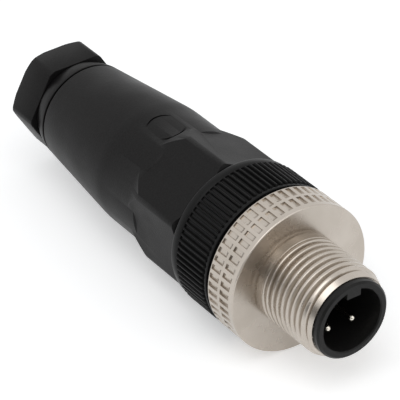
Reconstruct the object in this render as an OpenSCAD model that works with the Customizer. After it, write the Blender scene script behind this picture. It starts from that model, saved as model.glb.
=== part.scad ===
// Straight field-wireable M12 plug, A-coded, four male contacts with screw terminals.
// The axis of the plug is X. The mating end points to +X, the cable leaves towards -X.
// The origin is on the axis, in the front face of the coupling ring.

/* [Coupling screw] */
// Major diameter of the coupling thread
thread_d = 12; // [11.6:0.1:12.6]
// Length of the threaded nose in front of the ring
nose_len = 9.5; // [8.5:0.1:11]
// Length of the lead-in taper at the tip of the nose
nose_taper = 1.4; // [0.6:0.1:2]
// Wall of the nose at its tip
nose_wall = 0.4; // [0.3:0.05:0.6]
// Outer diameter of the coupling ring, and of the ribbed holder behind it
ring_d = 20.1; // [19:0.1:22]
// Length of the coupling ring
ring_len = 4.95; // [4.6:0.05:6]
// Radius of the ring's rounded front edge
ring_edge = 0.55; // [0.2:0.05:0.8]
// Number of grip pockets in each row
pocket_count = 54; // [40:1:60]
// Length of one grip pocket along the axis
pocket_len = 1.7; // [1.2:0.05:1.8]
// Plain band between the two rows of pockets
pocket_band = 0.6; // [0.4:0.05:0.9]
// Depth of a grip pocket
pocket_depth = 0.22; // [0.1:0.01:0.35]
// Width of the raised land between two pockets
pocket_land = 0.5; // [0.35:0.05:0.6]

/* [Contact carrier] */
// Outer diameter of the tube that runs through the coupling screw
shroud_d = 9.9; // [9.7:0.05:10]
// Wall of that tube round the socket
shroud_wall = 0.69; // [0.6:0.01:0.8]
// Depth of the socket
socket_depth = 8.5; // [7.5:0.1:9]
// Height of the snap lip that holds the coupling screw
lip_h = 0.29; // [0.2:0.01:0.35]
// Length of the snap lip
lip_len = 0.87; // [0.6:0.01:1.2]
// Width of the coding key
key_w = 2; // [1.4:0.1:2.2]
// Height of the coding key
key_h = 0.86; // [0.6:0.02:1]
// Diameter of the collar that seats in the holder
collar_d = 14; // [13.6:0.1:14.4]
// Diameter of the terminal block
block_d = 12.2; // [11.8:0.1:12.3]
// Place of the rear face of the terminal block, measured from the ring's front face
block_end = 25; // [24.5:0.1:26]

/* [Contacts] */
// Pitch circle diameter of the four contacts
pin_pcd = 5.2; // [5:0.1:5.3]
// Diameter of the contact pins
pin_d = 1; // [0.8:0.05:1.1]
// Distance of the pin tips behind the front face of the socket
pin_setback = 2.1; // [1.8:0.1:2.6]
// Diameter of the terminal barrels
barrel_d = 2.5; // [2.3:0.05:2.7]
// Length of the terminal barrels
barrel_len = 16.6; // [15:0.1:17]
// Diameter of the wire hole
wire_d = 1.5; // [1.2:0.05:1.7]
// Depth of the wire hole
wire_depth = 5.5; // [4.5:0.1:7]
// Diameter of the terminal screws
screw_d = 1.8; // [1.6:0.05:2]
// Distance of the terminal screws from the rear end of the barrels
screw_setback = 3.1; // [2.6:0.1:3.6]
// Width of the screwdriver slot
slot_w = 0.4; // [0.3:0.05:0.5]

/* [Insert holder] */
// Length of the knurled holder ring
holder_len = 7.8; // [7.4:0.1:8.4]
// Number of ribs
rib_count = 78; // [60:1:80]
// Height of the ribs
rib_h = 0.28; // [0.15:0.01:0.35]
// Width of a rib at its foot
rib_w = 0.42; // [0.3:0.02:0.5]
// Length of the plain rim in front of the ribs
front_rim = 1.1; // [0.7:0.1:1.4]
// Length of the plain rim behind the ribs
rear_rim = 1.4; // [1:0.1:1.6]
// Diameter of the threaded spigot that carries the grip body
spigot_d = 14; // [13.9:0.05:14.2]
// Length of the threaded spigot
spigot_len = 4.5; // [4:0.1:5]

/* [Grip body] */
// Width across the flats of the body's hexagon
hex_af = 17; // [16.8:0.05:17.4]
// Radius of the hexagon's rounded corners
hex_round = 1; // [0.5:0.1:1.2]
// Length from the front face to the end of the flats
hex_len = 9.3; // [8.5:0.1:10]
// Diameter of the round part of the body
body_d = 17.36; // [17.1:0.02:17.6]
// Place where the round part ends and the taper starts
taper_start = 30.7; // [29.5:0.1:32]
// Place of the rear face of the body
body_end = 46; // [45.5:0.1:47]
// Diameter of the body at its rear end
tail_d = 14.2; // [14:0.05:14.6]
// Turn of the body's hexagon and disc, as they end up when the thread is tight
body_turn = 7.8; // [0:0.1:59]
// Diameter of the wire chamber
chamber_d = 13.8; // [13.4:0.1:14]
// Diameter of the plain disc on the side of the body
disc_d = 5.2; // [4:0.1:5.6]
// Place of the disc's centre
disc_at = 26.25; // [25.8:0.05:27]
// Width of the groove round the disc
disc_groove = 0.28; // [0.15:0.01:0.4]
// Depth of the groove round the disc
disc_depth = 0.16; // [0.08:0.01:0.25]

/* [Cable gland] */
// Width across the flats of the pressure nut
nut_af = 13; // [12.8:0.1:13.4]
// Length of the nut's hexagon
nut_len = 4.95; // [4.5:0.05:6]
// Radius of the nut's rounded corners
nut_round = 0.9; // [0.4:0.1:1.2]
// Length of the nut's round collar
nut_collar_len = 2.35; // [2:0.05:2.8]
// Turn of the nut's hexagon
nut_turn = 1.8; // [0:0.1:59]
// Diameter of the nut's threaded shank
gland_d = 11.8; // [11.6:0.05:11.9]
// Length of the nut's threaded shank
shank_len = 4.4; // [4:0.1:4.6]
// Diameter of the cable opening
cable_hole_d = 6.5; // [6:0.1:6.8]
// Outer diameter of the clamp cage
cage_d = 10.8; // [10.6:0.05:10.9]
// Length of the clamp cage
cage_len = 5.5; // [5:0.1:5.8]
// Number of clamp fingers
finger_count = 8; // [6:1:10]
// Width of the slots between the fingers
finger_gap = 0.9; // [0.6:0.1:1.1]
// Bore of the cable seal
seal_bore_d = 5; // [4:0.1:5.4]

/* [Clearances] */
// Radial gap of the turning and threaded fits
fit = 0.05; // [0.03:0.01:0.08]
// Radial gap of the pressed pieces
seat = 0.02; // [0.01:0.01:0.04]
// Gap between faces of pieces that turn against each other
face_gap = 0.25; // [0.15:0.01:0.3]

/* [Hidden] */
$fn = 96;
contact_count = 4;

// ---- places along the axis, all as x ----
socket_front = nose_len + face_gap / 5 + lip_len;
socket_floor = socket_front - socket_depth;
holder_front = -ring_len - face_gap;
holder_rear = holder_front - holder_len;
body_front = holder_rear - face_gap;
well_depth = 3;                           // rear recess of the coupling screw
collar_sink = 1.8;                        // how far the carrier's collar sits in the holder
ring_room = 0.8;                          // room for the insert's O-ring behind the collar
barrel_sink = 0.4;                        // how far the barrels lie inside the terminal block
cage_seat = 8.9;                          // depth of the cage's seat, from the body's rear face
passage_len = 2.4;                        // neck between the cage's seat and the wire chamber
cage_wall = 0.8;                          // wall of the clamp cage and its fingers
cage_base = 1.5;                          // closed ring in front of the fingers
cage_taper = 1.2;                         // tapered tips of the fingers
collar_front = -ring_len + well_depth - face_gap;
collar_rear = holder_front - collar_sink;
barrel_rear = -block_end + barrel_sink;
barrel_front = barrel_rear + barrel_len;
screw_at = barrel_rear + screw_setback;
nut_front = -body_end - face_gap;
hex_front = nut_front - nut_collar_len;
nut_rear = hex_front - nut_len;
shank_front = nut_front + shank_len;
cage_front = -body_end + cage_seat;
cage_rear = cage_front - cage_len;

// ---- radii ----
socket_r = shroud_d / 2 - shroud_wall;
bore_r = shroud_d / 2 + fit;
well_r = collar_d / 2 + face_gap;
hex_corner_r = (hex_af / 2 - hex_round) / cos(30) + hex_round;
cone_rise = 0.36;                         // slope of the ramp from the round body to the hexagon
ramp_len = (hex_corner_r - body_d / 2) / cone_rise;
flat_end = body_front - hex_len;
ramp_end = flat_end - 1.45;
ramp_foot = ramp_end - 0.3;                // where the hexagon starts, under the round surface
o_ring_r = 0.4;

// Turns a profile drawn as [x, radius] into a solid of revolution about the X axis.
module turned(profile) {
    rotate([0, 90, 0]) rotate_extrude() polygon([for (p = profile) [p[1], p[0]]]);
}

// Round bar along X from x0 to x1.
module bar(x0, x1, r) {
    translate([x0, 0, 0]) rotate([0, 90, 0]) cylinder(h = x1 - x0, r = r);
}

// Points of an arc that goes from angle a0 to a1, for use in [x, radius] profiles.
function arc(cx, cr, r, a0, a1, n = 6) =
    [for (i = [0:n]) [cx + r * cos(a0 + (a1 - a0) * i / n), cr + r * sin(a0 + (a1 - a0) * i / n)]];

// Outline of a hexagon with rounded corners, one flat facing up.
function hex_outline(af, rnd, n = 8) =
    [for (k = [0:5], i = [0:n])
        let (c = (af / 2 - rnd) / cos(30), a = 60 * k, b = a - 30 + 60 * i / n)
        [c * cos(a) + rnd * cos(b), c * sin(a) + rnd * sin(b)]];

// Hexagonal bar along X from x0 to x1, turned about the axis.
module hex_bar(x0, x1, af, rnd, turn) {
    rotate([turn, 0, 0]) translate([x0, 0, 0]) rotate([90, 0, 90])
        linear_extrude(x1 - x0) polygon(hex_outline(af, rnd));
}

// Places children at each contact, or at one of them.
module at_contact(i) {
    rotate([45 + 90 * i, 0, 0]) children();
}

// ---- coupling screw ----

// Section of one grip pocket: a steep rear wall, a flat floor and a ramp that runs out at the front.
module pocket(x0) {
    r = ring_d / 2;
    width = ring_d * PI / pocket_count - pocket_land;
    translate([0, width / 2, 0]) rotate([90, 0, 0])
        linear_extrude(width) polygon([
            [x0 - 0.1, r + 0.2],
            [x0, r - pocket_depth],
            [x0 + pocket_len * 0.6, r - pocket_depth],
            [x0 + pocket_len, r + 0.05],
            [x0 + pocket_len, r + 0.2]]);
}

module coupling_screw() {
    r = ring_d / 2;
    rear_row = -ring_len + 0.45;
    front_row = rear_row + pocket_len + pocket_band;
    color("#c9c5bd") difference() {
        turned(concat(
            [[-ring_len, well_r], [-ring_len, r - 0.12], [-ring_len + 0.12, r]],
            arc(-ring_edge, r - ring_edge, ring_edge, 90, 0),
            [[0, thread_d / 2], [nose_len - nose_taper, thread_d / 2], [nose_len, bore_r + nose_wall],
             [nose_len, bore_r],
             [-ring_len + well_depth, bore_r], [-ring_len + well_depth, well_r]]));
        for (i = [0:pocket_count - 1]) rotate([360 / pocket_count * i, 0, 0]) {
            pocket(rear_row);
            pocket(front_row);
        }
    }
}

// ---- contact carrier ----

module contact_carrier() {
    r = shroud_d / 2 + lip_h;
    color("#2b2b2d") difference() {
        union() {
            difference() {
                turned([
                    [-block_end, 0], [-block_end, block_d / 2 - 0.3], [-block_end + 0.3, block_d / 2],
                    [collar_rear, block_d / 2], [collar_rear, collar_d / 2], [collar_front, collar_d / 2],
                    [collar_front, shroud_d / 2], [socket_front - lip_len, shroud_d / 2],
                    [socket_front - lip_len, r], [socket_front - 0.25, r], [socket_front, r - 0.25],
                    [socket_front, 0]]);
                turned([[socket_floor, 0], [socket_floor, socket_r],
                    [socket_front - 0.15, socket_r], [socket_front + 0.05, socket_r + 0.2],
                    [socket_front + 0.05, 0]]);
            }
            translate([socket_floor - 0.5, -key_w / 2, socket_r - key_h])
                cube([socket_depth + 0.5, key_w, key_h + 0.2]);
        }
        for (i = [0:contact_count - 1]) at_contact(i) {
            translate([0, pin_pcd / 2, 0]) {
                bar(barrel_front - 1, socket_floor + 1, pin_d / 2 + seat);
                bar(-block_end - 1, barrel_front, barrel_d / 2 + seat);
            }
            translate([screw_at, pin_pcd / 2, 0]) rotate([-90, 0, 0])
                cylinder(h = block_d / 2, r = screw_d / 2 + 0.15);
        }
    }
}

// ---- contacts ----

module contact_pin(i) {
    tip = pin_d / 2;
    x1 = socket_front - pin_setback;
    color("#d8d4c8") at_contact(i) translate([0, pin_pcd / 2, 0]) difference() {
        turned(concat(
            [[barrel_rear, 0], [barrel_rear, barrel_d / 2 - 0.15], [barrel_rear + 0.15, barrel_d / 2],
             [barrel_front, barrel_d / 2], [barrel_front, tip]],
            arc(x1 - tip, 0, tip, 90, 0, 8)));
        translate([barrel_rear - 1, 0, 0]) rotate([0, 90, 0]) cylinder(h = wire_depth + 1, r = wire_d / 2);
        translate([screw_at, 0, 0]) rotate([-90, 0, 0]) cylinder(h = barrel_d, r = screw_d / 2 + seat);
    }
}

module terminal_screw(i) {
    head_top = block_d / 2 - 0.5;
    tip = pin_pcd / 2 + 0.25;
    color("#cfcfd2") at_contact(i) translate([screw_at, 0, 0]) rotate([-90, 0, 0]) difference() {
        rotate_extrude() polygon([[0, tip], [screw_d / 2 - 0.25, tip], [screw_d / 2, tip + 0.25],
            [screw_d / 2, head_top - 0.15], [screw_d / 2 - 0.15, head_top], [0, head_top]]);
        translate([-screw_d, -slot_w / 2, head_top - 0.6]) cube([2 * screw_d, slot_w, 1]);
    }
}

// ---- insert holder ----

// One sector of the ribbed outline: a low flank, a narrow crown and the groove up to the next rib.
function rib_outline() =
    let (foot = ring_d / 2 - rib_h, half = rib_w / 2 / foot * 180 / PI)
    [for (i = [0:rib_count - 1], p = [[-1, 0], [-0.72, 0.7], [-0.3, 1], [0.3, 1], [0.72, 0.7], [1, 0]])
        let (a = 360 / rib_count * i + half * p[0], q = foot + rib_h * p[1]) [q * cos(a), q * sin(a)]];

module insert_holder() {
    r = ring_d / 2 - 0.1;
    ribs_front = holder_front - front_rim;
    ribs_rear = holder_rear + rear_rim;
    color("#2f2f31") difference() {
        union() {
            turned([
                [holder_rear - spigot_len, 0], [holder_rear - spigot_len, spigot_d / 2 - 0.4],
                [holder_rear - spigot_len + 0.4, spigot_d / 2], [holder_rear, spigot_d / 2],
                [holder_rear, r - 0.25], [holder_rear + 0.45, r], [ribs_rear, r],
                [ribs_rear, r - 0.2], [ribs_front, r - 0.2], [ribs_front, r],
                [holder_front + 0.3 - front_rim / 2, r], [holder_front, r - 0.3], [holder_front, 0]]);
            translate([ribs_rear, 0, 0]) rotate([90, 0, 90])
                linear_extrude(ribs_front - ribs_rear) polygon(rib_outline());
        }
        bar(holder_rear - spigot_len - 1, holder_front + 1, block_d / 2 + fit);
        bar(collar_rear - ring_room, holder_front + 1, collar_d / 2 + seat);
    }
}

module insert_o_ring() {
    color("#1f2a22") rotate([0, 90, 0]) translate([0, 0, collar_rear - ring_room / 2])
        rotate_extrude() translate([(block_d + collar_d) / 4, 0])
            circle(r = (collar_d - block_d) / 5, $fn = 32);
}

// ---- grip body ----

module body_o_ring() {
    color("#1f1f20") rotate([0, 90, 0]) translate([0, 0, body_front - 0.5])
        rotate_extrude() translate([spigot_d / 2 + 0.06 + o_ring_r, 0]) circle(r = o_ring_r, $fn = 32);
}

module grip_body() {
    r = body_d / 2;
    tail = tail_d / 2;
    nut_bore = gland_d / 2 + fit;
    cage_bore = cage_d / 2 + fit;
    counterbore = spigot_d / 2 + 0.12 + 2 * o_ring_r;
    passage_r = cable_hole_d / 2 + 0.05;
    chamber_front = holder_rear - spigot_len - 0.6;
    color("#333335") difference() {
        union() {
            turned(concat([[-body_end, 0], [-body_end, tail - 0.2], [-body_end + 0.2, tail]],
                [[-taper_start, r], [flat_end - 0.2, r], [flat_end + 0.2, hex_af / 2 - 0.02],
                 [flat_end + 0.2, 0]]));
            intersection() {
                hex_bar(ramp_foot, body_front, hex_af, hex_round, 30 + body_turn);
                turned([[ramp_foot - 0.1, 0], [ramp_foot - 0.1, r + (ramp_foot - 0.1 - ramp_end) * cone_rise],
                    [ramp_end + ramp_len + 0.5, r + (ramp_len + 0.5) * cone_rise],
                    [body_front - 1.1, hex_corner_r + 0.2], [body_front, hex_af / 2 + 0.2],
                    [body_front, 0]]);
            }
        }
        bar(body_front - 1, body_front + 1, counterbore);
        turned([[cage_front, 0], [cage_front, passage_r], [cage_front + passage_len, passage_r],
            [-taper_start, chamber_d / 2], [chamber_front, chamber_d / 2], [chamber_front, spigot_d / 2 + fit],
            [body_front + 1, spigot_d / 2 + fit], [body_front + 1, 0]]);
        turned([[-body_end - 1, 0], [-body_end - 1, nut_bore + 0.3], [-body_end, nut_bore + 0.3],
            [-body_end + 0.3, nut_bore], [shank_front + 0.6, nut_bore], [shank_front + 0.6, cage_bore],
            [cage_front + 0.01, cage_bore], [cage_front + 0.01, 0]]);
        intersection() {
            rotate([body_turn, 0, 0]) translate([-disc_at, 0, 0]) difference() {
                cylinder(h = body_d, r = disc_d / 2);
                cylinder(h = body_d, r = disc_d / 2 - disc_groove);
            }
            difference() {
                bar(-disc_at - disc_d, -disc_at + disc_d, body_d);
                bar(-disc_at - disc_d - 1, -disc_at + disc_d + 1, r - disc_depth);
            }
        }
    }
}

// ---- cable gland ----

module clamp_cage() {
    r = cage_d / 2;
    color("#4a4a4c") difference() {
        turned([
            [cage_rear, r - cage_wall - 0.45], [cage_rear, r - cage_wall],
            [cage_rear + cage_taper, r], [cage_front - 0.3, r],
            [cage_front, r - 0.3], [cage_front, cable_hole_d / 2 + 0.3],
            [cage_front - cage_base, cable_hole_d / 2 + 0.3], [cage_front - cage_base, r - cage_wall],
            [cage_rear + cage_taper, r - cage_wall]]);
        for (i = [0:finger_count - 1]) rotate([360 / finger_count * i, 0, 0])
            translate([cage_rear - 1, -finger_gap / 2, 0]) cube([cage_len - cage_base + 1, finger_gap, r + 1]);
    }
}

module cable_seal() {
    r = cage_d / 2 - cage_wall - fit;
    front = cage_front - cage_base - 0.1;
    hole = seal_bore_d / 2;
    color("#222a24") turned([
        [cage_rear + 0.2, hole + 0.4], [cage_rear + 0.2, r - 0.9], [cage_rear + cage_taper * 0.75, r - 0.35],
        [cage_rear + cage_taper, r], [front, r], [front, hole + 0.4],
        [front - 0.8, hole], [cage_rear + 1, hole]]);
}

module pressure_nut() {
    hole = cable_hole_d / 2;
    r = gland_d / 2;
    collar_r = tail_d / 2 - 0.05;
    color("#333335") difference() {
        union() {
            hex_bar(nut_rear, hex_front, nut_af, nut_round, nut_turn);
            turned(concat(
                [[hex_front - 0.5, 0], [hex_front - 0.5, nut_af / 2 - 0.15]],
                [for (i = [0:6]) let (t = i / 6)
                    [hex_front + nut_collar_len * t, collar_r - 0.7 * pow(1 - t, 1.5)]],
                [[nut_front, r], [shank_front - 0.3, r], [shank_front, r - 0.3], [shank_front, 0]]));
        }
        turned(concat(
            [[nut_rear - 0.1, 0], [nut_rear - 0.1, hole + 0.8]],
            arc(nut_rear + 0.8, hole + 0.8, 0.8, 180, 270),
            [[cage_rear - 1.5, hole], [cage_rear - 0.3, cage_d / 2 - 0.95], [shank_front + 0.1, cage_d / 2 + 0.1],
             [shank_front + 0.1, 0]]));
    }
}

coupling_screw();
contact_carrier();
insert_holder();
insert_o_ring();
contact_pin(0);  // contact_pin_1
contact_pin(1);  // contact_pin_2
contact_pin(2);  // contact_pin_3
contact_pin(3);  // contact_pin_4
terminal_screw(0);  // terminal_screw_1
terminal_screw(1);  // terminal_screw_2
terminal_screw(2);  // terminal_screw_3
terminal_screw(3);  // terminal_screw_4
body_o_ring();
grip_body();
clamp_cage();
cable_seal();
pressure_nut();
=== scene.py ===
import bpy
import math
import numpy as np
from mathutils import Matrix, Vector


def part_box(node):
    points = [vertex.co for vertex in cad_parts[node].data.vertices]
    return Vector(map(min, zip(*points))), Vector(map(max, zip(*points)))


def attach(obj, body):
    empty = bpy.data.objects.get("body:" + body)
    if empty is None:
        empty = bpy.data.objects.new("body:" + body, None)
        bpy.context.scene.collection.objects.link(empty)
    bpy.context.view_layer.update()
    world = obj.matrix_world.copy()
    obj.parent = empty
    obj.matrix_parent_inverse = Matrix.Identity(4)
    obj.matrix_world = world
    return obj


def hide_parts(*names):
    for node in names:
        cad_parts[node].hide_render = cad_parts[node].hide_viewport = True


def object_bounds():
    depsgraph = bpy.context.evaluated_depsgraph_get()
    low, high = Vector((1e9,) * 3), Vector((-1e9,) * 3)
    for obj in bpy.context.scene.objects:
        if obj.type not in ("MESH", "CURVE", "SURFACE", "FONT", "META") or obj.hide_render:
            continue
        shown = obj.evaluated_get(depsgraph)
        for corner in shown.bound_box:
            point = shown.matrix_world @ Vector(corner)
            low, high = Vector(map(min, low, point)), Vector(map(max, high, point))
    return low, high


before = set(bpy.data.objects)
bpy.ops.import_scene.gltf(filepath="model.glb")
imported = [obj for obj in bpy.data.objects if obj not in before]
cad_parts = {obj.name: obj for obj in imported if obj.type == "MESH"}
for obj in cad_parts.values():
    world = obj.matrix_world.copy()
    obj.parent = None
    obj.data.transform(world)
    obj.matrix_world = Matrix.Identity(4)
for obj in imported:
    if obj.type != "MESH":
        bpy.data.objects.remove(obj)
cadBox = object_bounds()
print("frame loaded")

mm = 0.001  # sizes below are in millimetres, the scene is in metres


def freshStart():
    if bpy.context.object and bpy.context.object.mode != "OBJECT":
        bpy.ops.object.mode_set(mode="OBJECT")
    bpy.ops.object.select_all(action="DESELECT")


def makeActive(obj):
    freshStart()
    obj.select_set(True)
    bpy.context.view_layer.objects.active = obj


def centres(mesh, kind):
    # middle of every face, edge or vertex, in millimetres
    spots = np.zeros(len(mesh.vertices) * 3)
    mesh.vertices.foreach_get("co", spots)
    spots = spots.reshape(-1, 3) / mm
    if kind == "VERT":
        return spots
    if kind == "EDGE":
        ends = np.zeros(len(mesh.edges) * 2, dtype=int)
        mesh.edges.foreach_get("vertices", ends)
        return spots[ends.reshape(-1, 2)].mean(axis=1)
    middles = np.zeros(len(mesh.polygons) * 3)
    mesh.polygons.foreach_get("center", middles)
    return middles.reshape(-1, 3) / mm


def pick(obj, kind, test):
    # selects what passes the test on x, radius and angle, and stays in edit mode
    bpy.ops.object.mode_set(mode="OBJECT")
    mesh = obj.data
    groups = {"VERT": mesh.vertices, "EDGE": mesh.edges, "FACE": mesh.polygons}
    for group in groups.values():
        group.foreach_set("select", np.zeros(len(group), dtype=bool))
    spots = centres(mesh, kind)
    radius = np.hypot(spots[:, 1], spots[:, 2])
    angle = np.degrees(np.arctan2(spots[:, 2], spots[:, 1])) % 360
    groups[kind].foreach_set("select", test(spots[:, 0], radius, angle))
    bpy.context.tool_settings.mesh_select_mode = [kind == k for k in ("VERT", "EDGE", "FACE")]
    bpy.ops.object.mode_set(mode="EDIT")


def closeUp(obj):
    # joins the seam and turns every face outwards
    bpy.ops.object.mode_set(mode="EDIT")
    bpy.ops.mesh.select_all(action="SELECT")
    bpy.ops.mesh.remove_doubles(threshold=0.002 * mm)
    bpy.ops.mesh.normals_make_consistent(inside=False)
    bpy.ops.object.mode_set(mode="OBJECT")


def latheAlongX(name, profile, sides):
    # draws a closed round piece about the X axis from a list of (x, radius)
    freshStart()
    x, r = profile[0]
    bpy.ops.mesh.primitive_circle_add(
        vertices=sides, radius=r * mm, location=(x * mm, 0, 0), rotation=(0, math.pi / 2, 0))
    obj = bpy.context.object
    obj.name = name
    obj.data.name = name
    bpy.ops.object.transform_apply(location=True, rotation=True, scale=True)
    bpy.context.tool_settings.mesh_select_mode = (True, False, False)
    bpy.ops.object.mode_set(mode="EDIT")
    bpy.ops.mesh.select_all(action="SELECT")
    for nextX, nextR in profile[1:] + profile[:1]:
        bpy.ops.mesh.extrude_region_move(TRANSFORM_OT_translate={"value": ((nextX - x) * mm, 0, 0)})
        if nextR != r:
            bpy.ops.transform.resize(
                value=(1, nextR / r, nextR / r), center_override=(nextX * mm, 0, 0))
        x, r = nextX, nextR
    bpy.ops.object.mode_set(mode="OBJECT")
    closeUp(obj)
    return obj


def hexBarAlongX(name, rear, front, acrossFlats, cornerRound, cornerAngle):
    # hexagonal bar with rounded corners; cornerAngle is measured from +Y towards +Z
    freshStart()
    corner = acrossFlats / 2 / math.cos(math.radians(30))
    bpy.ops.mesh.primitive_cylinder_add(
        vertices=6, radius=corner * mm, depth=(front - rear) * mm,
        location=((front + rear) / 2 * mm, 0, 0), rotation=(0, math.pi / 2, 0))
    obj = bpy.context.object
    obj.name = name
    obj.data.name = name
    bpy.ops.object.transform_apply(location=True, rotation=True, scale=True)
    obj.rotation_euler = (math.radians(cornerAngle), 0, 0)
    bpy.ops.object.transform_apply(rotation=True)
    pick(obj, "EDGE", lambda x, r, a: (abs(x - (front + rear) / 2) < 0.01) & (r > corner * 0.98))
    bpy.ops.mesh.bevel(offset=cornerRound * math.tan(math.radians(30)) * mm, segments=8,
                       affect="EDGES", offset_type="OFFSET")
    bpy.ops.object.mode_set(mode="OBJECT")
    return obj


def combine(obj, tool, how):
    makeActive(obj)
    bpy.ops.object.modifier_add(type="BOOLEAN")
    cut = obj.modifiers[-1]
    cut.operation = how
    cut.solver = "EXACT"
    cut.object = tool
    bpy.ops.object.modifier_apply(modifier=cut.name)
    bpy.data.objects.remove(tool)


def softenEdges(obj, width, angle, segments=2):
    makeActive(obj)
    bpy.ops.object.modifier_add(type="BEVEL")
    bevel = obj.modifiers[-1]
    bevel.width = width * mm
    bevel.segments = segments
    bevel.limit_method = "ANGLE"
    bevel.angle_limit = math.radians(angle)
    bevel.use_clamp_overlap = True
    bpy.ops.object.modifier_apply(modifier=bevel.name)


def shadeSmooth(obj, angle):
    makeActive(obj)
    bpy.ops.object.shade_smooth_by_angle(angle=math.radians(angle))


def arc(x, r, size, fromAngle, toAngle, steps=6):
    turns = [math.radians(fromAngle + (toAngle - fromAngle) * i / steps) for i in range(steps + 1)]
    return [(x + size * math.cos(t), r + size * math.sin(t)) for t in turns]


def finishPiece(obj, body, node, material):
    obj.data.materials.clear()
    obj.data.materials.append(material)
    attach(obj, body)
    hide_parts(node)


def newMaterial(name):
    material = bpy.data.materials.new(name)
    material.use_nodes = True
    tree = material.node_tree
    tree.nodes.clear()
    output = tree.nodes.new("ShaderNodeOutputMaterial")
    shader = tree.nodes.new("ShaderNodeBsdfPrincipled")
    tree.links.new(shader.outputs[0], output.inputs[0])
    coords = tree.nodes.new("ShaderNodeTexCoord")
    return material, tree, shader, coords.outputs["Object"]


def noiseNode(tree, place, scale, detail=2.0, roughness=0.5):
    noise = tree.nodes.new("ShaderNodeTexNoise")
    noise.inputs["Scale"].default_value = scale
    noise.inputs["Detail"].default_value = detail
    noise.inputs["Roughness"].default_value = roughness
    tree.links.new(place, noise.inputs["Vector"])
    return noise.outputs["Fac"]


def spread(tree, value, low, high, fromLow=0.3, fromHigh=0.7):
    remap = tree.nodes.new("ShaderNodeMapRange")
    remap.inputs["From Min"].default_value = fromLow
    remap.inputs["From Max"].default_value = fromHigh
    remap.inputs["To Min"].default_value = low
    remap.inputs["To Max"].default_value = high
    tree.links.new(value, remap.inputs["Value"])
    return remap.outputs[0]


def colourBetween(tree, value, dark, light, fromLow=0.3, fromHigh=0.7):
    ramp = tree.nodes.new("ShaderNodeValToRGB")
    ramp.color_ramp.elements[0].position = fromLow
    ramp.color_ramp.elements[0].color = (*dark, 1)
    ramp.color_ramp.elements[1].position = fromHigh
    ramp.color_ramp.elements[1].color = (*light, 1)
    tree.links.new(value, ramp.inputs["Fac"])
    return ramp.outputs["Color"]


def bumpFrom(tree, shader, height, distance, strength=1.0, under=None):
    bump = tree.nodes.new("ShaderNodeBump")
    bump.inputs["Distance"].default_value = distance * mm
    bump.inputs["Strength"].default_value = strength
    tree.links.new(height, bump.inputs["Height"])
    if under:
        tree.links.new(under, bump.inputs["Normal"])
    tree.links.new(bump.outputs[0], shader.inputs["Normal"])
    return bump.outputs[0]


def mouldedPlastic(name, dark, light, grain, roughLow, roughHigh, specular=0.5):
    # dark and light are the colours between the grains, and grain is their height in millimetres
    material, tree, shader, place = newMaterial(name)
    cloud = noiseNode(tree, place, 160, 3)
    fine = noiseNode(tree, place, 5200, 2, 0.6)
    tree.links.new(colourBetween(tree, fine, dark, light, 0.35, 0.68), shader.inputs["Base Color"])
    tree.links.new(spread(tree, cloud, roughLow, roughHigh), shader.inputs["Roughness"])
    shader.inputs["Specular IOR Level"].default_value = specular
    wide = bumpFrom(tree, shader, cloud, 0.012)
    bumpFrom(tree, shader, fine, grain, 1.0, wide)
    return material


def nickelPlate(name, base, tint, roughLow, roughHigh, anisotropic=0.0):
    # satin plating, brushed round the X axis where anisotropic is above 0
    material, tree, shader, place = newMaterial(name)
    shader.inputs["Metallic"].default_value = 1.0
    shader.inputs["Anisotropic"].default_value = anisotropic
    cloud = noiseNode(tree, place, 230, 3, 0.55)
    tree.links.new(colourBetween(tree, cloud, base, tint, 0.3, 0.7), shader.inputs["Base Color"])
    tree.links.new(spread(tree, cloud, roughLow, roughHigh), shader.inputs["Roughness"])
    tangent = tree.nodes.new("ShaderNodeTangent")
    tangent.direction_type = "RADIAL"
    tangent.axis = "X"
    tree.links.new(tangent.outputs[0], shader.inputs["Tangent"])
    pits = noiseNode(tree, place, 2600, 3, 0.6)
    bumpFrom(tree, shader, pits, 0.0015)
    return material


plating = nickelPlate("nickelPlate", (0.455, 0.41, 0.36), (0.53, 0.482, 0.43), 0.22, 0.32, 0.5)
contactPlate = nickelPlate("contactPlate", (0.72, 0.68, 0.60), (0.80, 0.76, 0.68), 0.14, 0.22)
screwPlate = nickelPlate("screwPlate", (0.60, 0.60, 0.62), (0.70, 0.70, 0.72), 0.22, 0.34)
insertPlastic = mouldedPlastic("insertPlastic", (0.007, 0.0068, 0.0066), (0.013, 0.0125, 0.012),
                               0.004, 0.3, 0.4, specular=0.17)
holderPlastic = mouldedPlastic("holderPlastic", (0.0045, 0.0045, 0.0045), (0.008, 0.008, 0.008),
                               0.004, 0.3, 0.42, specular=0.12)
bodyPlastic = mouldedPlastic("bodyPlastic", (0.0045, 0.0042, 0.0043), (0.0095, 0.009, 0.009),
                             0.02, 0.38, 0.5, specular=0.13)
nutPlastic = mouldedPlastic("nutPlastic", (0.0045, 0.0042, 0.0043), (0.0095, 0.009, 0.009),
                            0.012, 0.38, 0.5, specular=0.13)
cagePlastic = mouldedPlastic("cagePlastic", (0.03, 0.03, 0.031), (0.05, 0.05, 0.052), 0.006, 0.4, 0.5)
sealRubber = mouldedPlastic("sealRubber", (0.012, 0.013, 0.012), (0.022, 0.024, 0.022), 0.008, 0.6, 0.75)
print("materials ready")


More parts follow.
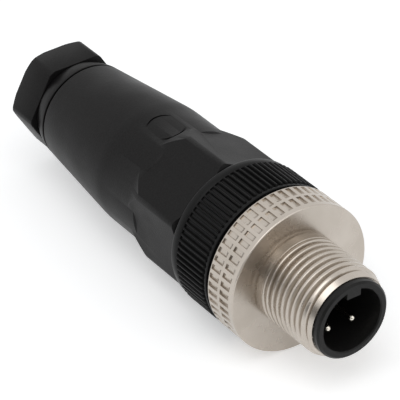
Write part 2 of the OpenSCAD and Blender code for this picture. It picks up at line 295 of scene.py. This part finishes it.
screwSizes = {
    "ringEdge": 0.13, "rearEdge": 0.12, "support": 0.05, "wellDepth": 3.0, "wellRadius": 7.25,
    "boreRadius": 5.0, "threadRadius": 6.0, "threadRoot": 5.45, "pitch": 1.0, "crestHalf": 0.2,
    "footHalf": 0.46, "firstCrest": 1.016, "neckLength": 0.6, "taperLength": 1.4, "tipRadius": 5.4,
    "pocketCount": 54, "stepsPerPocket": 7, "pocketSteps": 4,
    "pocketRear": 0.25, "pocketLength": 1.75, "pocketBand": 0.45, "pocketDepth": 0.22,
    "rampShare": 0.62, "wall": 0.05,
}


def makeThread(size, tip):
    # one ridge, swept along the helix, then trimmed by the outline of the nose
    freshStart()
    crestHalf, footHalf, foot = size["crestHalf"], size["footHalf"], size["threadRoot"] - 0.12
    bpy.ops.mesh.primitive_plane_add(size=1 * mm, location=(0, 0, 0), rotation=(math.pi / 2, 0, 0))
    ridge = bpy.context.object
    bpy.ops.object.transform_apply(location=True, rotation=True, scale=True)
    ridge.data.vertices.foreach_set("co", np.array([
        (-footHalf, 0, foot), (footHalf, 0, foot),
        (-crestHalf, 0, size["threadRadius"]), (crestHalf, 0, size["threadRadius"])]).flatten() * mm)
    pick(ridge, "VERT", lambda x, r, a: r > size["threadRadius"] - 0.1)
    bpy.ops.mesh.bevel(offset=0.07 * mm, segments=3, affect="VERTICES")
    bpy.ops.mesh.select_all(action="SELECT")
    bpy.ops.mesh.delete(type="ONLY_FACE")
    bpy.ops.object.mode_set(mode="OBJECT")
    turns = math.ceil(tip / size["pitch"]) + 2
    bpy.ops.object.modifier_add(type="SCREW")
    sweep = ridge.modifiers[-1]
    sweep.axis = "X"
    sweep.steps = sweep.render_steps = 60
    sweep.iterations = turns
    sweep.screw_offset = size["pitch"] * mm
    bpy.ops.object.modifier_apply(modifier=sweep.name)
    pick(ridge, "VERT", lambda x, r, a: x > -99)
    bpy.ops.transform.translate(value=((size["firstCrest"] - 2 * size["pitch"]) * mm, 0, 0))
    bpy.ops.mesh.select_all(action="SELECT")
    bpy.ops.mesh.fill_holes(sides=0)
    bpy.ops.mesh.select_all(action="SELECT")
    bpy.ops.mesh.normals_make_consistent(inside=False)
    bpy.ops.object.mode_set(mode="OBJECT")
    start = tip - size["taperLength"]
    outline = latheAlongX("noseOutline", [
        (0.3, 1.0), (0.3, size["threadRadius"]), (start, size["threadRadius"]),
        (tip, size["tipRadius"]), (tip, 1.0)], 180)
    combine(ridge, outline, "INTERSECT")
    return ridge


def makeCouplingScrew(size):
    low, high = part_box("coupling_screw")
    rear, tip, outer = low.x / mm, high.x / mm, high.z / mm
    edge = size["ringEdge"]
    rows = []
    x = rear + size["pocketRear"]
    for i in range(2):
        rows.append((x, x + size["pocketLength"] * size["rampShare"], x + size["pocketLength"]))
        x += size["pocketLength"] + size["pocketBand"]
    sides = size["pocketCount"] * size["stepsPerPocket"]
    stations = [(x, outer) for row in rows for x in row]
    ring = latheAlongX("couplingScrew", [
        (0, 3.6), (rear + size["wellDepth"], 3.6), (rear + size["wellDepth"], size["wellRadius"]),
        (rear, size["wellRadius"]), (rear, outer - size["rearEdge"]), (rear + size["rearEdge"], outer),
        *stations, (-edge - size["support"], outer), *arc(-edge, outer - edge, edge, 90, 0, 4),
        (0, outer - edge - size["support"]), (0, size["threadRadius"] + 0.3)], sides)
    step = 360 / sides
    floorShare = (outer - size["pocketDepth"]) / outer
    for rowRear, rampStart, rowFront in rows:
        pick(ring, "FACE", lambda x, r, a: (x > rowRear) & (x < rowFront) & (r > outer - 0.05)
             & ((np.floor(a / step) % size["stepsPerPocket"]) < size["pocketSteps"]))
        bpy.ops.mesh.inset(thickness=size["wall"] * mm, use_even_offset=True)
        bpy.ops.transform.resize(value=(1, floorShare, floorShare), center_override=(0, 0, 0))
        pick(ring, "VERT", lambda x, r, a: (x > rowFront - 0.3) & (x < rowFront - 0.01) & (r < outer - 0.1)
             & (r > outer - 0.4))
        lift = (outer - 0.04) / (outer - size["pocketDepth"])
        bpy.ops.transform.resize(value=(1, lift, lift), center_override=(0, 0, 0))
    bpy.ops.object.mode_set(mode="OBJECT")
    neck = size["neckLength"]
    core = latheAlongX("noseCore", [
        (-1.0, 3.2), (-1.0, size["threadRadius"] - 0.02), (neck, size["threadRadius"] - 0.02),
        (neck + 0.3, size["threadRoot"]), (tip - 0.35, size["threadRoot"]),
        (tip, size["tipRadius"] - 0.02), (tip, 3.2)], 180)
    combine(core, makeThread(size, tip), "UNION")
    combine(ring, core, "UNION")
    bore = latheAlongX("noseBore", [
        (rear - 1, 1.0), (rear - 1, size["boreRadius"]), (tip + 1, size["boreRadius"]), (tip + 1, 1.0)], 180)
    combine(ring, bore, "DIFFERENCE")
    shadeSmooth(ring, 28)
    return ring


couplingScrew = makeCouplingScrew(screwSizes)
finishPiece(couplingScrew, "coupling", "coupling_screw", plating)
print("coupling screw ready", len(couplingScrew.data.polygons))


holderSizes = {
    "ribCount": 78, "stepsPerRib": 4, "ribSteps": 2, "ribHeight": 0.42, "frontRim": 0.85, "rearRim": 1.4,
    "rimStep": 0.2, "shoulder": 0.32, "shoulderDepth": 0.6, "spigotLength": 4.5, "spigotRadius": 7.0,
    "boreRadius": 6.15, "seatRadius": 7.02, "seatDepth": 2.6,
}


def makeHolder(size):
    low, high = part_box("insert_holder")
    front, outer = high.x / mm, high.z / mm
    rear = low.x / mm + size["spigotLength"]
    rim = outer - size["rimStep"]
    foot = outer - size["ribHeight"]
    ribsRear, ribsFront = rear + size["rearRim"], front - size["frontRim"]
    shoulder = front - size["shoulder"]
    holder = latheAlongX("insertHolder", [
        (front, size["seatRadius"]), (front - size["seatDepth"], size["seatRadius"]),
        (front - size["seatDepth"], size["boreRadius"]),
        (rear - size["spigotLength"], size["boreRadius"]),
        (rear - size["spigotLength"], size["spigotRadius"] - 0.4),
        (rear - size["spigotLength"] + 0.4, size["spigotRadius"]), (rear, size["spigotRadius"]),
        (rear, rim - 0.25), (rear + 0.12, rim - 0.08), (rear + 0.3, rim),
        (ribsRear - 0.12, rim), (ribsRear - 0.04, rim - 0.05), (ribsRear, foot),
        (ribsFront, foot), (ribsFront + 0.04, rim - 0.05), (ribsFront + 0.12, rim),
        (shoulder - 0.1, rim), (shoulder - 0.03, rim - 0.03), (shoulder, rim - 0.1),
        (shoulder, rim - size["shoulderDepth"]), (front, rim - size["shoulderDepth"])],
        size["ribCount"] * size["stepsPerRib"])
    step = 360 / (size["ribCount"] * size["stepsPerRib"])
    pick(holder, "FACE", lambda x, r, a: (x > ribsRear) & (x < ribsFront) & (abs(r - foot) < 0.02)
         & ((np.floor(a / step) % size["stepsPerRib"]) < size["ribSteps"]))
    for thickness, radius, before in ((0.07, outer - 0.1, foot), (0.07, outer - 0.01, outer - 0.1)):
        bpy.ops.mesh.inset(thickness=thickness * mm, use_even_offset=True)
        bpy.ops.transform.resize(value=(1, radius / before, radius / before), center_override=(0, 0, 0))
    bpy.ops.object.mode_set(mode="OBJECT")
    shadeSmooth(holder, 40)
    return holder


insertHolder = makeHolder(holderSizes)
finishPiece(insertHolder, "insert", "insert_holder", holderPlastic)
print("holder ready", len(insertHolder.data.polygons))


bodySizes = {
    "acrossFlats": 17.0, "cornerRound": 1.0, "cornerAngle": 37.8, "flatEnd": 22.55, "rampEnd": 24.0,
    "rampSlope": 0.36, "roundRadius": 8.68, "taperStart": 30.7, "tailRadius": 7.1, "tailEdge": 0.25,
    "counterbore": 7.92, "threadBore": 7.05, "threadBoreEnd": 18.1, "chamberRadius": 6.9,
    "neckRadius": 3.3, "neckFront": 34.7, "cageSeat": 37.1, "cageBore": 5.45, "nutBore": 5.95,
    "nutBoreFront": 41.25, "discAt": 26.25, "discRadius": 2.6, "discGroove": 0.26, "discDepth": 0.16,
    "discAngle": 97.8,
}


def makeGripBody(size):
    low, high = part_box("grip_body")
    rear, front = low.x / mm, high.x / mm
    r, tail, edge = size["roundRadius"], size["tailRadius"], size["tailEdge"]
    flat = size["acrossFlats"] / 2
    cornerReach = (flat - size["cornerRound"]) / math.cos(math.radians(30)) + size["cornerRound"]
    body = latheAlongX("gripBody", [
        (rear, 2.0), *arc(rear + edge, tail - edge, edge, 180, 90, 4),
        (-size["taperStart"] - 0.8, r - 0.07), (-size["taperStart"], r - 0.015),
        (-size["taperStart"] + 0.8, r), (-size["flatEnd"] - 0.2, r),
        (-size["flatEnd"] + 0.2, flat - 0.05), (-size["flatEnd"] + 0.2, 2.0)], 192)
    bar = hexBarAlongX("hexBar", -size["rampEnd"] - 0.6, front, size["acrossFlats"], size["cornerRound"],
                       size["cornerAngle"])
    rampTop = -size["rampEnd"] + (cornerReach + 0.3 - r) / size["rampSlope"]
    outline = latheAlongX("hexOutline", [
        (-size["rampEnd"] - 0.3, 1.0), (-size["rampEnd"] - 0.3, r - 0.3 * size["rampSlope"]),
        (rampTop, cornerReach + 0.3), (front - 0.85, cornerReach + 0.3), (front + 0.1, flat + 0.12),
        (front + 0.1, 1.0)], 192)
    combine(bar, outline, "INTERSECT")
    combine(body, bar, "UNION")
    cavity = latheAlongX("bodyCavity", [
        (front + 1, 0.5), (front + 1, size["counterbore"]), (front - 1, size["counterbore"]),
        (front - 1, size["threadBore"]), (-size["threadBoreEnd"], size["threadBore"]),
        (-size["threadBoreEnd"], size["chamberRadius"]), (-size["taperStart"], size["chamberRadius"]),
        (-size["neckFront"], size["neckRadius"]), (-size["cageSeat"], size["neckRadius"]),
        (-size["cageSeat"], size["cageBore"]), (-size["nutBoreFront"], size["cageBore"]),
        (-size["nutBoreFront"], size["nutBore"]), (rear + 0.3, size["nutBore"]),
        (rear, size["nutBore"] + 0.3), (rear - 1, size["nutBore"] + 0.3), (rear - 1, 0.5)], 128)
    combine(body, cavity, "DIFFERENCE")
    groove = latheAlongX("discGroove", [
        (r - size["discDepth"] - 0.05, size["discRadius"] - size["discGroove"]),
        (r - size["discDepth"] - 0.05, size["discRadius"]), (r + 2, size["discRadius"]),
        (r + 2, size["discRadius"] - size["discGroove"])], 96)
    groove.rotation_euler = (0, -math.pi / 2, 0)
    bpy.ops.object.transform_apply(rotation=True)
    groove.rotation_euler = (math.radians(size["discAngle"] - 90), 0, 0)
    groove.location = (-size["discAt"] * mm, 0, 0)
    bpy.ops.object.transform_apply(location=True, rotation=True)
    combine(body, groove, "DIFFERENCE")
    shadeSmooth(body, 24)
    return body


gripBody = makeGripBody(bodySizes)
finishPiece(gripBody, "shell", "grip_body", bodyPlastic)
print("grip body ready", len(gripBody.data.polygons))


nutSizes = {
    "acrossFlats": 13.0, "cornerRound": 0.9, "cornerAngle": 61.8, "hexLength": 4.95, "collarLength": 2.35,
    "collarRadius": 7.05, "collarDrop": 0.7, "shankRadius": 5.9, "holeRadius": 3.25, "mouthRound": 0.8,
    "coneEnd": 42.9, "coneRadius": 4.45, "coneMouth": 5.5,
}


def makePressureNut(size):
    low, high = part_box("pressure_nut")
    rear, shankFront = low.x / mm, high.x / mm
    hexFront = rear + size["hexLength"]
    collarFront = hexFront + size["collarLength"]
    flat = size["acrossFlats"] / 2
    reach = (flat - size["cornerRound"]) / math.cos(math.radians(30)) + size["cornerRound"]
    collar = [(hexFront + size["collarLength"] * i / 8,
               size["collarRadius"] - size["collarDrop"] * (1 - i / 8) ** 1.5) for i in range(9)]
    collar[-1:] = [(collarFront - 0.06, size["collarRadius"] - 0.01),
                   (collarFront, size["collarRadius"] - 0.08)]
    nut = latheAlongX("pressureNut", [
        (hexFront - 0.5, 1.5), (hexFront - 0.5, flat - 0.15), *collar,
        (collarFront, size["shankRadius"]), (shankFront - 0.3, size["shankRadius"]),
        (shankFront, size["shankRadius"] - 0.3), (shankFront, 1.5)], 144)
    bar = hexBarAlongX("nutBar", rear, hexFront, size["acrossFlats"], size["cornerRound"],
                       size["cornerAngle"])
    outline = latheAlongX("nutOutline", [
        (rear - 0.1, 1.0), (rear - 0.1, flat + 0.05), (rear + 0.55, reach + 0.2),
        (hexFront - 0.4, reach + 0.2), (hexFront + 0.1, reach - 0.15), (hexFront + 0.1, 1.0)], 144)
    combine(bar, outline, "INTERSECT")
    softenEdges(bar, 0.12, 35)
    combine(nut, bar, "UNION")
    hole, mouth = size["holeRadius"], size["mouthRound"]
    cavity = latheAlongX("nutCavity", [
        (rear - 0.5, 0.5), (rear - 0.5, hole + mouth), *arc(rear + mouth, hole + mouth, mouth, 180, 270, 6),
        (-size["coneEnd"] - 1.2, hole), (-size["coneEnd"], size["coneRadius"]),
        (shankFront + 0.1, size["coneMouth"]), (shankFront + 0.1, 0.5)], 128)
    combine(nut, cavity, "DIFFERENCE")
    shadeSmooth(nut, 26)
    return nut


pressureNut = makePressureNut(nutSizes)
finishPiece(pressureNut, "gland", "pressure_nut", nutPlastic)
print("pressure nut ready", len(pressureNut.data.polygons))


finishes = {
    "contact_carrier": insertPlastic, "insert_o_ring": sealRubber, "body_o_ring": sealRubber,
    "clamp_cage": cagePlastic, "cable_seal": sealRubber,
}
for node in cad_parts:
    if node.startswith("contact_pin"):
        finishes[node] = contactPlate
    if node.startswith("terminal_screw"):
        finishes[node] = screwPlate
for node, material in finishes.items():
    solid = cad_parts[node]
    solid.data.materials.clear()
    solid.data.materials.append(material)
print("finishes set")


def whiteWhere(tree, rays):
    # 1 for the named kinds of ray, 0 for the rest
    path = tree.nodes.new("ShaderNodeLightPath")
    answer = path.outputs[rays[0]]
    for ray in rays[1:]:
        either = tree.nodes.new("ShaderNodeMath")
        either.operation = "MAXIMUM"
        tree.links.new(answer, either.inputs[0])
        tree.links.new(path.outputs[ray], either.inputs[1])
        answer = either.outputs[0]
    return answer


def mixInto(tree, amount, first, second, output):
    mix = tree.nodes.new("ShaderNodeMixShader")
    tree.links.new(amount, mix.inputs["Fac"])
    tree.links.new(first.outputs[0], mix.inputs[1])
    tree.links.new(second.outputs[0], mix.inputs[2])
    tree.links.new(mix.outputs[0], output.inputs[0])


def makeFloor(size):
    # pale floor that keeps the shadow, and glows a little where a camera or a reflection sees it
    freshStart()
    bpy.ops.mesh.primitive_plane_add(size=size["floorWidth"], location=(0, 0, size["floorHeight"]))
    floor = bpy.context.object
    floor.name = "floor"
    material, tree, shader, place = newMaterial("paleFloor")
    shader.inputs["Base Color"].default_value = (0.9, 0.9, 0.9, 1)
    shader.inputs["Roughness"].default_value = 0.9
    shader.inputs["Specular IOR Level"].default_value = 0.1
    glow = tree.nodes.new("ShaderNodeEmission")
    glow.inputs["Strength"].default_value = size["floorGlow"]
    both = tree.nodes.new("ShaderNodeAddShader")
    tree.links.new(shader.outputs[0], both.inputs[0])
    tree.links.new(glow.outputs[0], both.inputs[1])
    seen = whiteWhere(tree, ("Is Camera Ray", "Is Glossy Ray"))
    mixInto(tree, seen, shader, both, tree.nodes["Material Output"])
    floor.data.materials.append(material)


def background(tree, colour, strength):
    node = tree.nodes.new("ShaderNodeBackground")
    node.inputs["Color"].default_value = colour
    node.inputs["Strength"].default_value = strength
    return node


def makeWorld(size):
    # white to the eye and in reflections, and a soft fill on the object
    world = bpy.data.worlds.new("studio")
    bpy.context.scene.world = world
    world.use_nodes = True
    tree = world.node_tree
    tree.nodes.clear()
    seen = whiteWhere(tree, ("Is Camera Ray", "Is Glossy Ray", "Is Transmission Ray"))
    fill = background(tree, (0.96, 0.98, 1.0, 1), size["fill"])
    white = background(tree, (1, 1, 1, 1), 1.0)
    mixInto(tree, seen, fill, white, tree.nodes.new("ShaderNodeOutputWorld"))


def softbox(name, place, target, width, height, power):
    freshStart()
    bpy.ops.object.light_add(type="AREA", location=place)
    light = bpy.context.object
    light.name = name
    light.data.shape = "RECTANGLE"
    light.data.size = width
    light.data.size_y = height
    light.data.energy = power
    light.rotation_euler = (Vector(target) - Vector(place)).to_track_quat("-Z", "Y").to_euler()


def reflectionCard(size):
    # grey card standing round the front, seen only in reflections; turns are degrees about Z from +X
    low, high = size["floorHeight"], size["cardTop"]
    fromTurn, toTurn = size["cardTurns"]
    x, y, z = size["middle"]
    freshStart()
    bpy.ops.mesh.primitive_cylinder_add(
        vertices=72, radius=size["cardDistance"], depth=high - low, end_fill_type="NOTHING",
        location=(x, y, (low + high) / 2))
    card = bpy.context.object
    card.name = "frontCard"
    bpy.ops.object.transform_apply(location=True)
    middles = centres(card.data, "FACE") * mm
    turns = np.degrees(np.arctan2(middles[:, 1] - y, middles[:, 0] - x))
    card.data.polygons.foreach_set("select", (turns < fromTurn) | (turns > toTurn))
    bpy.context.tool_settings.mesh_select_mode = (False, False, True)
    bpy.ops.object.mode_set(mode="EDIT")
    bpy.ops.mesh.delete(type="FACE")
    bpy.ops.object.mode_set(mode="OBJECT")
    material, tree, shader, place = newMaterial("greyCard")
    shader.inputs["Base Color"].default_value = (0.13, 0.12, 0.11, 1)
    shader.inputs["Roughness"].default_value = 1.0
    card.data.materials.append(material)
    card.visible_camera = card.visible_diffuse = card.visible_shadow = False


studio = {
    "floorHeight": cadBox[0][2], "floorWidth": 3.0, "floorGlow": 0.4, "fill": 0.5, "middle": (-0.02, 0, 0),
    "cardTurns": (-104, 2), "cardDistance": 0.5, "cardTop": 0.25,
}
makeFloor(studio)
makeWorld(studio)
softbox("overheadBox", (0.08, -0.2, 0.46), studio["middle"], 0.5, 0.4, 1.0)
softbox("rightBox", (0.42, 0.12, 0.25), studio["middle"], 0.3, 0.3, 0.22)
reflectionCard(studio)

cameraSetup = {
    "place": (0.198949, -0.156167, 0.180762), "lookAlong": (-0.67686, 0.48148, -0.55681), "lens": 232.56,
}
camera = bpy.data.objects.new("camera", bpy.data.cameras.new("camera"))
bpy.context.scene.collection.objects.link(camera)
camera.data.lens = cameraSetup["lens"]
camera.data.sensor_width = 36
camera.data.clip_start = 0.01
camera.location = cameraSetup["place"]
camera.rotation_euler = Vector(cameraSetup["lookAlong"]).to_track_quat("-Z", "Y").to_euler()
bpy.context.scene.camera = camera
bpy.context.scene.view_settings.view_transform = "Standard"
print("camera and light ready")
